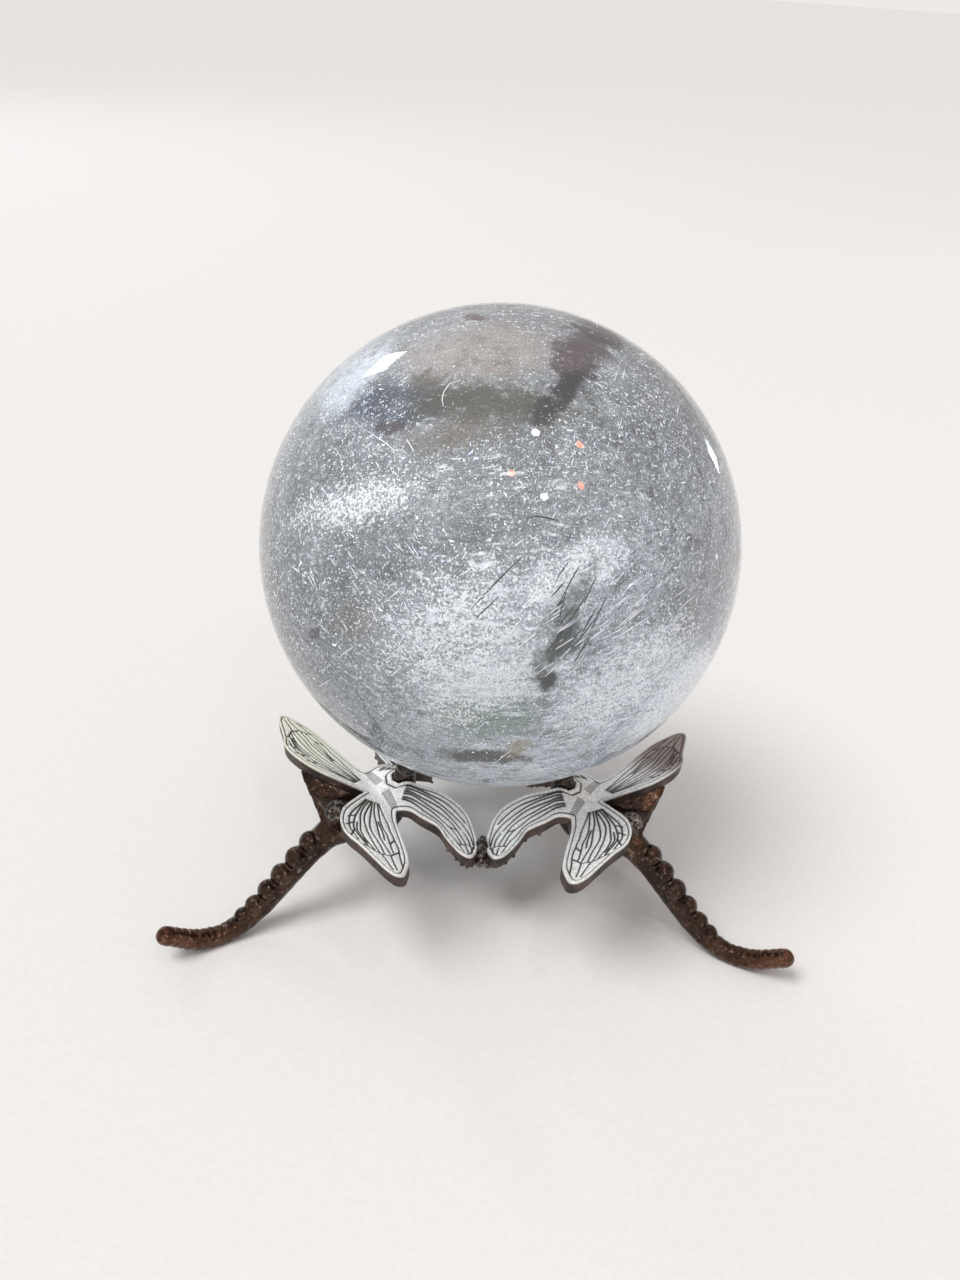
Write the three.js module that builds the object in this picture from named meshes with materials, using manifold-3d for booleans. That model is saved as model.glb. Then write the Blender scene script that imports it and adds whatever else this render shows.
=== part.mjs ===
// Rock crystal ball on a ring of three cast dragonflies.
// Millimetres, +Z up, the surface it stands on at Z = 0.
import * as THREE from 'three';
import { mergeVertices } from 'three/addons/utils/BufferGeometryUtils.js';
import { ConvexGeometry } from 'three/addons/geometries/ConvexGeometry.js';
import Module from 'manifold-3d';

// Driving dimensions. Everything else follows from the ball's radius.
const ballRadius = 37.5;
const ballCentreHeight = 1.687 * ballRadius;
const clearance = 0.3;
const insectAzimuths = { left: 210, right: 330, back: 90 };
const bridgeAzimuths = { front: 270, right: 30, left: 150 };

// Wing casting: one flat plate that climbs away from the ball, its fore wings lifted at the head.
const wingTilt = THREE.MathUtils.degToRad(25.5);
const wingThickness = 0.06 * ballRadius;
const wallLean = 0.035 * ballRadius;
const thoraxReach = 0.55 * ballRadius;
const thoraxDepth = 1.12 * ballRadius;
const foreWingLift = 0.115 * ballRadius;
const foreWingLiftWidth = 0.17 * ballRadius;

// Finishes.
const finishes = {
  quartz: { color: 0xc9ccd8, roughness: 0.05, metalness: 0 },
  castWings: { color: 0xb9b8b2, roughness: 0.35, metalness: 1 },
  castBody: { color: 0x6b4b3c, roughness: 0.3, metalness: 1 },
  solder: { color: 0x5a504c, roughness: 0.4, metalness: 1 },
};

const manifold = await Module();
manifold.setup();

// Closed three.js geometry to a solid that can be joined and cut.
function toSolid(geometry) {
  const bare = geometry.clone();
  bare.deleteAttribute('normal');
  bare.deleteAttribute('uv');
  const welded = mergeVertices(bare, 1e-4);
  const mesh = new manifold.Mesh({
    numProp: 3,
    vertProperties: new Float32Array(welded.attributes.position.array),
    triVerts: new Uint32Array(welded.index.array),
  });
  return new manifold.Manifold(mesh);
}

// Solid back to a geometry for the scene graph.
function toGeometry(solid) {
  const mesh = solid.getMesh();
  const geometry = new THREE.BufferGeometry();
  geometry.setAttribute('position', new THREE.BufferAttribute(mesh.vertProperties.slice(), 3));
  geometry.setIndex(new THREE.BufferAttribute(mesh.triVerts.slice(), 1));
  geometry.computeVertexNormals();
  return geometry;
}

// Rounded lump: an ellipsoid with its centre and half sizes given in ball radii.
// reach runs out from the ball's axis, side across, depth down from the ball's centre.
function lump(reach, side, depth, halfReach, halfSide, halfDepth) {
  const geometry = new THREE.SphereGeometry(ballRadius, 10, 6);
  geometry.rotateX(Math.PI / 2);
  geometry.scale(halfReach, halfSide, halfDepth);
  geometry.translate(reach * ballRadius, side * ballRadius, ballCentreHeight - depth * ballRadius);
  return toSolid(geometry);
}

// Half outlines of the wings, seen from above, as [reach, side] in ball radii.
const hindWingOutline = [
  [0.616, 0], [0.69, 0.058], [0.79, 0.145], [0.845, 0.23], [0.865, 0.3], [0.862, 0.35],
  [0.845, 0.392], [0.834, 0.43], [0.815, 0.51], [0.8, 0.57], [0.775, 0.608], [0.74, 0.608], [0.708, 0.575],
  [0.662, 0.508], [0.628, 0.41], [0.6, 0.31], [0.574, 0.221], [0.545, 0.152],
];
const foreWingOutline = [
  [0.545, 0.152], [0.5, 0.172], [0.456, 0.205], [0.415, 0.228], [0.383, 0.258], [0.378, 0.33],
  [0.368, 0.41], [0.35, 0.447], [0.316, 0.452], [0.262, 0.406], [0.222, 0.345], [0.197, 0.27],
  [0.19, 0.2], [0.213, 0.148], [0.26, 0.112], [0.33, 0.08], [0.42, 0.062], [0.505, 0.038],
];
const headGap = [0.515, 0];

// Smooth curve through hand-set corners, as points in the plate's own plane.
function sampleOutline(corners, count) {
  const curve = new THREE.SplineCurve(corners.map(([reach, side]) => new THREE.Vector2(
    (reach * ballRadius - thoraxReach) / Math.cos(wingTilt),
    side * ballRadius,
  )));
  return curve.getPoints(count);
}

// Whole outline of the plate, anticlockwise from between the hind wings, moved outward by grow.
function plateOutline(grow) {
  const hind = sampleOutline(hindWingOutline, 30);
  const fore = sampleOutline(foreWingOutline, 32);
  const half = [...hind, ...fore.slice(1), ...sampleOutline([headGap, headGap], 1).slice(1)];
  const mirrored = half.slice(1, -1).reverse().map((point) => new THREE.Vector2(point.x, -point.y));
  const loop = [...half, ...mirrored];
  return loop.map((point, index) => {
    const before = loop[(index + loop.length - 1) % loop.length];
    const after = loop[(index + 1) % loop.length];
    const along = after.clone().sub(before).normalize();
    return new THREE.Vector2(point.x + grow * along.y, point.y - grow * along.x);
  });
}

// How far the plate is raised above its own plane: the fore wings' roots rise beside the head.
function foreWingRise(along, side) {
  const reach = thoraxReach + along * Math.cos(wingTilt);
  const inward = THREE.MathUtils.smoothstep((0.59 * ballRadius - reach) / (0.13 * ballRadius), 0, 1);
  return foreWingLift * inward * Math.exp(-((side / foreWingLiftWidth) ** 2));
}

// Four wings in one plate, whose walls lean in towards the ball's axis on their way down.
// grow thickens it all round, to leave room beside it.
function wingPlate(grow) {
  const geometry = new THREE.ExtrudeGeometry(new THREE.Shape(plateOutline(grow)), {
    depth: wingThickness + 2 * grow,
    bevelEnabled: false,
  });
  geometry.translate(0, 0, -wingThickness - grow);
  const position = geometry.attributes.position;
  for (let index = 0; index < position.count; index += 1) {
    const below = position.getZ(index) < -wingThickness / 2;
    const rise = foreWingRise(position.getX(index), position.getY(index));
    position.setX(index, position.getX(index) - (below ? wallLean : 0));
    position.setZ(index, position.getZ(index) + rise);
  }
  geometry.rotateY(-wingTilt);
  geometry.translate(thoraxReach, 0, ballCentreHeight - thoraxDepth);
  return toSolid(geometry);
}

// Everything above the plate's underside, with clearance below it.
function abovePlate() {
  const geometry = new THREE.BoxGeometry(3 * ballRadius, ballRadius, ballRadius / 2);
  geometry.translate(0, 0, ballRadius / 4 - wingThickness - clearance);
  geometry.rotateY(-wingTilt);
  geometry.translate(thoraxReach, 0, ballCentreHeight - thoraxDepth);
  return toSolid(geometry);
}

// Tail that is also the leg: its centre line as [reach, depth] and its half thickness, in ball radii.
const legLine = [
  [0.58, 1.262], [0.7, 1.25], [0.8, 1.268], [0.88, 1.33], [0.96, 1.406], [1.04, 1.484],
  [1.12, 1.558], [1.21, 1.62], [1.32, 1.653], [1.43, 1.632], [1.505, 1.585], [1.56, 1.547],
];
const legHalfThickness = [0.07, 0.08, 0.072, 0.06, 0.056, 0.053, 0.05, 0.047, 0.046, 0.046, 0.045, 0.042];
const legSides = 10;
const legSegments = { first: 0.22, last: 0.68, count: 6, height: 0.02 };

// Half thickness at a share of the leg's length, with its segments swollen on the upper side.
function legRadius(share, upward) {
  const place = share * (legHalfThickness.length - 1);
  const index = Math.min(Math.floor(place), legHalfThickness.length - 2);
  const plain = THREE.MathUtils.lerp(legHalfThickness[index], legHalfThickness[index + 1], place - index);
  const { first, last, count, height } = legSegments;
  const inSegments = share > first && share < last;
  const turns = (share - first) / (last - first) * count;
  const swelling = inSegments ? upward * height * Math.abs(Math.sin(Math.PI * turns)) : 0;
  return (plain + swelling) * ballRadius;
}

// A turned rod bent along the leg's centre line.
function legRod(grow) {
  const line = new THREE.CatmullRomCurve3(legLine.map(([reach, depth]) => new THREE.Vector3(
    reach * ballRadius,
    0,
    ballCentreHeight - depth * ballRadius,
  )));
  const stations = 38;
  const profile = [new THREE.Vector2(0, 0)];
  for (let station = 0; station <= stations; station += 1) {
    profile.push(new THREE.Vector2(1, station / stations));
  }
  profile.push(new THREE.Vector2(0, 1));
  const geometry = new THREE.LatheGeometry(profile, legSides);
  const position = geometry.attributes.position;
  const place = new THREE.Vector3();
  const endBulge = 0.03 * ballRadius;
  for (let index = 0; index < position.count; index += 1) {
    place.fromBufferAttribute(position, index);
    const share = place.y;
    const onAxis = Math.hypot(place.x, place.z) < 1e-6;
    const radius = legRadius(share, Math.max(place.x, 0)) + grow;
    const centre = line.getPoint(share);
    const along = line.getTangent(share);
    const up = new THREE.Vector3(-along.z, 0, along.x);
    const bulge = onAxis ? (share < 0.5 ? -endBulge : endBulge) : 0;
    centre.addScaledVector(along, bulge);
    centre.addScaledVector(up, place.x * radius);
    centre.y += place.z * radius;
    position.setXYZ(index, centre.x, centre.y, centre.z);
  }
  return toSolid(geometry);
}

// Upright web between the tail's root and the wings' underside, as [reach, depth] in ball radii.
const webOutline = [[0.6, 1.28], [0.82, 1.28], [0.8, 1.16], [0.875, 1.0], [0.6, 1.1]];
const webThickness = 0.07 * ballRadius;

function web() {
  const outline = new THREE.Shape(webOutline.map(([reach, depth]) => new THREE.Vector2(
    reach * ballRadius,
    ballCentreHeight - depth * ballRadius,
  )));
  const geometry = new THREE.ExtrudeGeometry(outline, { depth: webThickness, bevelEnabled: false });
  geometry.translate(0, 0, -webThickness / 2);
  geometry.rotateX(Math.PI / 2);
  return toSolid(geometry);
}

// Gusset from the tail's root out to one hind wing's underside, as [reach, side, depth].
const gussetCorners = [
  [0.66, 0, 1.25], [0.82, 0, 1.24], [0.8, -0.03, 1.15], [0.845, -0.225, 1.04], [0.78, -0.14, 1.06],
  [0.64, -0.03, 1.12],
];

function gusset() {
  return toSolid(new ConvexGeometry(gussetCorners.map(([reach, side, depth]) => new THREE.Vector3(
    reach * ballRadius,
    side * ballRadius,
    ballCentreHeight - depth * ballRadius,
  ))));
}

// Thorax under the wings, the web and gusset, and the tail that is the leg.
function thoraxAndLeg() {
  const thorax = lump(0.56, 0, 1.255, 0.14, 0.085, 0.085);
  return thorax.add(legRod(0)).add(web()).add(gusset()).subtract(abovePlate());
}

// Head with two eyes that hold the ball up, on a neck between the roots of the fore wings.
function head() {
  const neck = lump(0.42, 0, 1.12, 0.058, 0.038, 0.17);
  const face = lump(0.4, 0, 1.01, 0.05, 0.045, 0.075);
  const rightEye = lump(0.425, 0.043, 0.965, 0.062, 0.05, 0.068);
  const leftEye = lump(0.425, -0.043, 0.965, 0.062, 0.05, 0.068);
  return neck.add(face).add(rightEye).add(leftEye);
}

const ballCutter = new THREE.SphereGeometry(ballRadius + clearance, 48, 24);
ballCutter.rotateX(Math.PI / 2);
ballCutter.translate(0, 0, ballCentreHeight);
const ballRoom = toSolid(ballCutter);
const floorCutter = new THREE.BoxGeometry(4 * ballRadius, 4 * ballRadius, ballRadius);
floorCutter.translate(0, 0, -ballRadius / 2);
const floorRoom = toSolid(floorCutter);

const plate = wingPlate(0);
const body = thoraxAndLeg().add(head()).subtract(ballRoom).subtract(floorRoom);

// Solder lumps on one flank of the web, where it meets the wings.
const weld = [
  lump(0.79, 0.06, 1.09, 0.05, 0.04, 0.045),
  lump(0.72, 0.065, 1.12, 0.05, 0.035, 0.045),
  lump(0.66, 0.07, 1.16, 0.045, 0.03, 0.04),
].reduce((whole, piece) => whole.add(piece));
const webRoom = new THREE.BoxGeometry(ballRadius, webThickness + 2 * clearance, ballRadius);
webRoom.translate(0.75 * ballRadius, 0, ballCentreHeight - 1.1 * ballRadius);
const bodySolder = weld.subtract(abovePlate()).subtract(toSolid(webRoom)).subtract(legRod(clearance));

// Turned about the ball's axis, degrees anticlockwise seen from above.
function turned(solid, azimuth) {
  const geometry = toGeometry(solid);
  geometry.rotateZ(THREE.MathUtils.degToRad(azimuth));
  return toSolid(geometry);
}

// Solder bridge between two neighbouring fore wing tips, made on the ray at azimuth 0.
const bridge = [
  lump(0.45, 0, 1.31, 0.075, 0.06, 0.032),
  lump(0.44, 0, 1.285, 0.055, 0.03, 0.05),
  lump(0.41, 0.004, 1.258, 0.02, 0.017, 0.02),
  lump(0.49, 0.03, 1.31, 0.035, 0.03, 0.03),
  lump(0.42, -0.035, 1.32, 0.035, 0.03, 0.03),
].reduce((whole, piece) => whole.add(piece));
const plateRoom = wingPlate(clearance);
const tipSolder = bridge.subtract(turned(plateRoom, 60)).subtract(turned(plateRoom, -60));

// One named mesh with its own finish.
function piece(name, geometry, finish) {
  const mesh = new THREE.Mesh(geometry, new THREE.MeshStandardMaterial(finishes[finish]));
  mesh.name = name;
  return mesh;
}

const assembly = new THREE.Group();

const ballGeometry = new THREE.SphereGeometry(ballRadius, 48, 24);
ballGeometry.rotateX(Math.PI / 2);
const ball = piece('crystal_ball', ballGeometry, 'quartz');
ball.position.z = ballCentreHeight;
assembly.add(ball);

for (const [side, azimuth] of Object.entries(insectAzimuths)) {
  const insect = new THREE.Group();
  insect.rotation.z = THREE.MathUtils.degToRad(azimuth);
  insect.add(piece(`wings_${side}`, toGeometry(plate), 'castWings'));
  const handed = (solid) => (side === 'right' ? solid.mirror([0, 1, 0]) : solid);
  insect.add(piece(`body_leg_${side}`, toGeometry(handed(body)), 'castBody'));
  insect.add(piece(`body_solder_${side}`, toGeometry(handed(bodySolder)), 'solder'));
  assembly.add(insect);
}

for (const [side, azimuth] of Object.entries(bridgeAzimuths)) {
  const solder = piece(`tip_solder_${side}`, toGeometry(tipSolder), 'solder');
  solder.rotation.z = THREE.MathUtils.degToRad(azimuth);
  assembly.add(solder);
}

// Origin at the middle of the footprint, on the surface the feet stand on.
const crystalBallOnStand = new THREE.Group();
crystalBallOnStand.add(assembly);
crystalBallOnStand.updateMatrixWorld(true);
const footprint = new THREE.Box3().setFromObject(crystalBallOnStand, true);
assembly.position.x = -(footprint.min.x + footprint.max.x) / 2;
assembly.position.y = -(footprint.min.y + footprint.max.y) / 2;
crystalBallOnStand.updateMatrixWorld(true);

export default crystalBallOnStand;
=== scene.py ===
"""Rock crystal ball on a ring of three cast dragonflies: the looks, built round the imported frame."""

import math

import bmesh
import bpy
import numpy as np
from mathutils import Matrix, Vector, noise


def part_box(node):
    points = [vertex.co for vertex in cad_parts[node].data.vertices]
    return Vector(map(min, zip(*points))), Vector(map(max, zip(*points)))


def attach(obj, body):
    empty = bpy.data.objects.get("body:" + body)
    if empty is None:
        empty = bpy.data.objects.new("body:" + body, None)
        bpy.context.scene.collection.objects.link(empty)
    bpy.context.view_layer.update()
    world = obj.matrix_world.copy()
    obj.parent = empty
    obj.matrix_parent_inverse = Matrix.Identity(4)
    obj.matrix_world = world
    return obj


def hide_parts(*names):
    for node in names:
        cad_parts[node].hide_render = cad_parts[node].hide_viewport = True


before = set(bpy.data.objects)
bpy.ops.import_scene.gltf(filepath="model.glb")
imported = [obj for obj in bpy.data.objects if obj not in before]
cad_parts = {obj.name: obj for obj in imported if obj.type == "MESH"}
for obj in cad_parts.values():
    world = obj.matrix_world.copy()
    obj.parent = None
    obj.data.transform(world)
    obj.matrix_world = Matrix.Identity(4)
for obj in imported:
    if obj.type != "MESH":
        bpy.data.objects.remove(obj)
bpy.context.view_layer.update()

MM = 0.001

# The ball gives every other size.
ball_low, ball_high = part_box("crystal_ball")
ball_centre = (ball_low + ball_high) / 2
ball_radius = (ball_high.z - ball_low.z) / 2

CAMERA_DISTANCE = 4.68

# The stand's driving sizes, in ball radii, as the castings were drawn.
INSECTS = {"left": 210, "right": 330, "back": 90}
BRIDGES = {"front": 270, "right": 30, "left": 150}
WING_TILT = math.radians(25.5)
WING_THICKNESS = 0.06
WALL_LEAN = 0.035
THORAX_REACH = 0.55
THORAX_DEPTH = 1.12
FORE_WING_LIFT = 0.115
FORE_WING_LIFT_WIDTH = 0.17

HIND_WING_OUTLINE = [
    (0.616, 0), (0.69, 0.058), (0.79, 0.145), (0.845, 0.23), (0.865, 0.3), (0.862, 0.35),
    (0.845, 0.392), (0.834, 0.43), (0.815, 0.51), (0.8, 0.57), (0.775, 0.608), (0.74, 0.608),
    (0.708, 0.575), (0.662, 0.508), (0.628, 0.41), (0.6, 0.31), (0.574, 0.221), (0.545, 0.152),
]
FORE_WING_OUTLINE = [
    (0.545, 0.152), (0.5, 0.172), (0.456, 0.205), (0.415, 0.228), (0.383, 0.258), (0.378, 0.33),
    (0.368, 0.41), (0.35, 0.447), (0.316, 0.452), (0.262, 0.406), (0.222, 0.345), (0.197, 0.27),
    (0.19, 0.2), (0.213, 0.148), (0.26, 0.112), (0.33, 0.08), (0.42, 0.062), (0.505, 0.038),
]
HEAD_GAP = (0.515, 0)

# Middle line of each wing with its half width, then its veins: (share across, start, end) along it.
HIND_WING_MIDDLE = [
    (0.585, 0.035), (0.64, 0.12), (0.695, 0.22), (0.73, 0.32), (0.742, 0.42), (0.75, 0.5), (0.758, 0.585),
]
HIND_WING_HALF_WIDTH = [0.012, 0.055, 0.1, 0.122, 0.1, 0.078, 0.045]
HIND_WING_VEINS = [
    (-0.72, 0.0, 0.93), (-0.46, 0.0, 0.74), (-0.2, 0.0, 0.76), (0.04, 0.0, 0.77), (0.25, 0.0, 0.75),
    (0.46, 0.0, 0.72), (0.66, 0.0, 0.68), (0.83, 0.06, 0.6), (-0.2, 0.8, 0.97), (0.22, 0.79, 0.97),
    (0.56, 0.42, 0.64), (-0.33, 0.34, 0.58),
]
HIND_WING_CROSSINGS = [
    ((-0.72, 0.72), (-0.2, 0.79), (0.3, 0.77), (0.75, 0.66)), ((0.66, 0.5), (0.95, 0.56)),
    ((0.66, 0.42), (0.95, 0.47)), ((0.66, 0.34), (0.93, 0.38)), ((-0.72, 0.56), (-0.46, 0.62)),
]
FORE_WING_MIDDLE = [
    (0.545, 0.06), (0.47, 0.105), (0.395, 0.14), (0.33, 0.18), (0.285, 0.24), (0.275, 0.31),
    (0.29, 0.38), (0.315, 0.44),
]
FORE_WING_HALF_WIDTH = [0.02, 0.05, 0.07, 0.088, 0.1, 0.095, 0.07, 0.03]
FORE_WING_VEINS = [
    (-0.68, 0.0, 0.97), (-0.4, 0.0, 0.85), (-0.12, 0.0, 0.84), (0.14, 0.0, 0.62), (0.14, 0.66, 0.84),
    (0.4, 0.0, 0.82), (0.64, 0.02, 0.58), (-0.2, 0.87, 0.98), (0.25, 0.87, 0.98),
]
FORE_WING_CROSSINGS = [
    ((-0.68, 0.86), (-0.1, 0.84), (0.66, 0.86)), ((-0.4, 0.56), (-0.12, 0.63)),
]

# Tail that is also the leg: its middle line as (reach, depth) and its half thickness.
LEG_LINE = [
    (0.58, 1.262), (0.7, 1.25), (0.8, 1.268), (0.88, 1.33), (0.96, 1.406), (1.04, 1.484),
    (1.12, 1.558), (1.21, 1.62), (1.32, 1.653), (1.43, 1.632), (1.505, 1.585), (1.56, 1.547),
]
LEG_HALF_THICKNESS = [0.07, 0.08, 0.068, 0.056, 0.052, 0.05, 0.048, 0.046, 0.045, 0.044, 0.043, 0.042]
WEB_OUTLINE = [(0.6, 1.28), (0.82, 1.28), (0.8, 1.16), (0.84, 1.07), (0.6, 1.14)]
WEB_THICKNESS = 0.07
GUSSET_CORNERS = [
    (0.66, 0, 1.25), (0.82, 0, 1.24), (0.8, -0.03, 1.15), (0.845, -0.225, 1.04), (0.78, -0.14, 1.06),
    (0.64, -0.03, 1.12),
]

# Rounded lumps as (reach, side, depth, half reach, half side, half depth).
BODY_LUMPS = [
    (0.56, 0, 1.255, 0.14, 0.085, 0.085), (0.42, 0, 1.12, 0.058, 0.038, 0.17),
    (0.4, 0, 1.01, 0.05, 0.045, 0.075), (0.425, 0.043, 0.965, 0.06, 0.048, 0.066),
    (0.425, -0.043, 0.965, 0.06, 0.048, 0.066),
]
WELD_LUMPS = [
    (0.79, 0.06, 1.09, 0.05, 0.04, 0.045), (0.72, 0.065, 1.12, 0.05, 0.035, 0.045),
    (0.66, 0.07, 1.16, 0.045, 0.03, 0.04),
]
BRIDGE_LUMPS = [
    (0.45, 0, 1.31, 0.075, 0.06, 0.032), (0.44, 0, 1.285, 0.055, 0.03, 0.05),
    (0.41, 0.004, 1.258, 0.02, 0.017, 0.02), (0.49, 0.03, 1.31, 0.035, 0.03, 0.03),
    (0.42, -0.035, 1.32, 0.035, 0.03, 0.03),
]


def linear(hex_colour):
    """An sRGB hex colour as linear RGBA."""
    channels = [int(hex_colour[at:at + 2], 16) / 255 for at in (1, 3, 5)]
    curve = [c / 12.92 if c <= 0.04045 else ((c + 0.055) / 1.055) ** 2.4 for c in channels]
    return (*curve, 1.0)


def add(material, kind, settings, inputs):
    """A shader node with its settings, and its inputs as values or links."""
    node = material.node_tree.nodes.new("ShaderNode" + kind)
    for name, value in settings.items():
        setattr(node, name, value)
    for name, value in inputs.items():
        if isinstance(value, bpy.types.NodeSocket):
            material.node_tree.links.new(value, node.inputs[name])
        else:
            node.inputs[name].default_value = value
    return node


def new_material(name):
    material = bpy.data.materials.new(name)
    material.use_nodes = True
    material.node_tree.nodes.clear()
    return material


def coated(material, ground, layers):
    """A ground colour under layers of (pattern, where it starts, where it is full, strength, colour)."""
    for pattern, start, full, strength, colour in layers:
        inputs = {"Value": pattern, "From Min": start, "From Max": full, "To Max": strength}
        share = add(material, "MapRange", {"interpolation_type": "SMOOTHSTEP"}, inputs).outputs["Result"]
        inputs = {0: share, 6: ground, 7: linear(colour)}
        ground = add(material, "Mix", {"data_type": "RGBA"}, inputs).outputs[2]
    return ground


def finish_surface(material, surface):
    add(material, "OutputMaterial", {}, {"Surface": surface})
    return material


# ---------------------------------------------------------------- rock crystal

# The heart's own frame: X across, Y towards the side with two legs, Z up, tipped back a little.
HEART_TIP = Matrix.Rotation(math.radians(-26.4), 3, "X") @ Matrix.Rotation(math.radians(-4.2), 3, "Y")
HEART_SHARE = 0.8

# Patches of the heart in heart radii: place, half sizes, turn about the heart's Y in degrees, softness
# of the edge, colour and strength. Milky patches drift with the clouds; two of them, near the lower right rim, are
# painted light.
MILKY_PATCHES = {
    "milk_left": ((-0.62, 0.76, 0.2), (0.26, 0.4, 0.07), -15, 0.9, "#cdd7e2", 0.4),
    "milk_low": ((-0.13, 0.82, -0.56), (0.3, 0.4, 0.12), -28, 0.6, "#ecf5fb", 0.75),
    "milk_wide": ((-0.24, 0.9, -0.36), (0.38, 0.4, 0.24), -30, 0.7, "#c3cfd9", 0.5),
    "milk_right": ((0.25, 0.96, -0.1), (0.26, 0.4, 0.1), -28, 0.7, "#dce6f2", 0.6),
    # Painted light: a pale glow near the lower right rim, not milk.
    "painted_rim_glow": ((0.72, 0.3, -0.63), (0.24, 0.4, 0.11), -45, 0.6, "#e4eefc", 0.8),
    # Painted light: paler where the key light leaves the lower right in shade, not milk.
    "painted_light_low_right": ((0.5, 0.7, -0.55), (0.3, 0.4, 0.14), -40, 0.7, "#d6e0ec", 0.6),
    "far_side": ((0.2, -0.85, 0.1), (0.4, 0.4, 0.22), -25, 0.7, "#d3dde8", 0.6),
}
SMOOTH_PATCHES = {
    "smooth_right": ((0.83, 0.54, -0.17), (0.13, 0.4, 0.26), 0, 0.4, "#8f9296", 0.6),
    "dull_right": ((0.68, 0.68, -0.27), (0.1, 0.4, 0.11), 0, 0.5, "#7b8283", 0.5),
    "brown_left": ((-0.64, 0.71, -0.28), (0.1, 0.4, 0.07), 0, 0.5, "#8b857d", 0.5),
    "teal": ((-0.11, 0.7, -0.7), (0.22, 0.4, 0.075), 8, 0.5, "#839c92", 0.75),
    "slate_shade": ((-0.46, 0.65, 0.6), (0.19, 0.4, 0.09), 6, 0.7, "#414e66", 0.9),
    # Painted highlight: a lamp's flare on the upper left, painted into the heart's colour.
    "painted_flare": ((-0.6, 0.33, 0.73), (0.2, 0.4, 0.06), -45, 0.8, "#e4eefa", 0.8),
}
INCLUSIONS = {
    "cap": ((-0.1, 0.58, 0.81), (0.34, 0.4, 0.14), -2, 0.6, "#a39b98", 0.8),
    "grey_band": ((-0.1, 0.79, 0.6), (0.4, 0.4, 0.1), 4, 0.8, "#4d4d45", 0.9),
    "pink_smudge": ((-0.24, 0.84, 0.46), (0.2, 0.4, 0.06), -5, 0.8, "#6f6a63", 0.7),
    "slate_foot": ((-0.48, 0.71, 0.51), (0.055, 0.4, 0.025), -10, 0.4, "#4f4650", 0.8),
    "maroon": ((0.33, 0.52, 0.8), (0.17, 0.4, 0.1), -45, 0.5, "#4f4146", 0.9),
    "maroon_rim": ((0.41, 0.27, 0.87), (0.09, 0.4, 0.035), 28, 0.3, "#35282f", 0.95),
    "dark_wedge": ((0.21, 0.76, 0.61), (0.16, 0.4, 0.05), -42, 0.5, "#333238", 0.95),
    "crescent": ((-0.12, 0.48, -0.87), (0.2, 0.4, 0.028), 3, 0.6, "#2b2829", 0.95),
    "tan_end": ((0.03, 0.56, -0.83), (0.06, 0.4, 0.034), -30, 0.6, "#8f8266", 0.7),
    "streak": ((0.18, 0.9, -0.4), (0.13, 0.4, 0.045), -50, 0.9, "#3b4442", 0.92),
    "streak_top": ((0.2, 0.95, -0.24), (0.15, 0.4, 0.045), -52, 0.8, "#59635f", 0.6),
    "streak_foot": ((0.14, 0.81, -0.55), (0.05, 0.4, 0.03), -40, 0.7, "#2d3232", 0.95),
    "dark_oval": ((-0.81, 0.48, -0.33), (0.022, 0.4, 0.032), 20, 0.2, "#5a5c60", 0.9),
    "cap_flake": ((-0.1, 0.31, 0.95), (0.046, 0.4, 0.014), 0, 0.3, "#57474c", 0.85),
    "far_smudge": ((-0.3, -0.7, -0.55), (0.22, 0.4, 0.05), 35, 0.5, "#555a58", 0.85),
    "far_band": ((0.35, -0.75, 0.5), (0.2, 0.4, 0.045), -20, 0.5, "#665f60", 0.8),
}


def patch_share(material, heart, patch, ragged):
    """Share of a patch at each point, from its middle out to a ragged edge."""
    place, half_sizes, turn, softness = patch[:4]
    inputs = {
        "Vector": heart, "Location": place, "Scale": half_sizes,
        "Rotation": (0, math.radians(turn), 0),
    }
    local = add(material, "Mapping", {"vector_type": "TEXTURE"}, inputs).outputs[0]
    far = add(material, "VectorMath", {"operation": "LENGTH"}, {0: local}).outputs["Value"]
    worn = add(material, "Math", {"operation": "ADD"}, {0: far, 1: ragged}).outputs[0]
    inputs = {"Value": worn, "From Min": 1.0 + softness, "From Max": 1.0 - softness}
    return add(material, "MapRange", {"interpolation_type": "SMOOTHSTEP"}, inputs).outputs["Result"]


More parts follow.
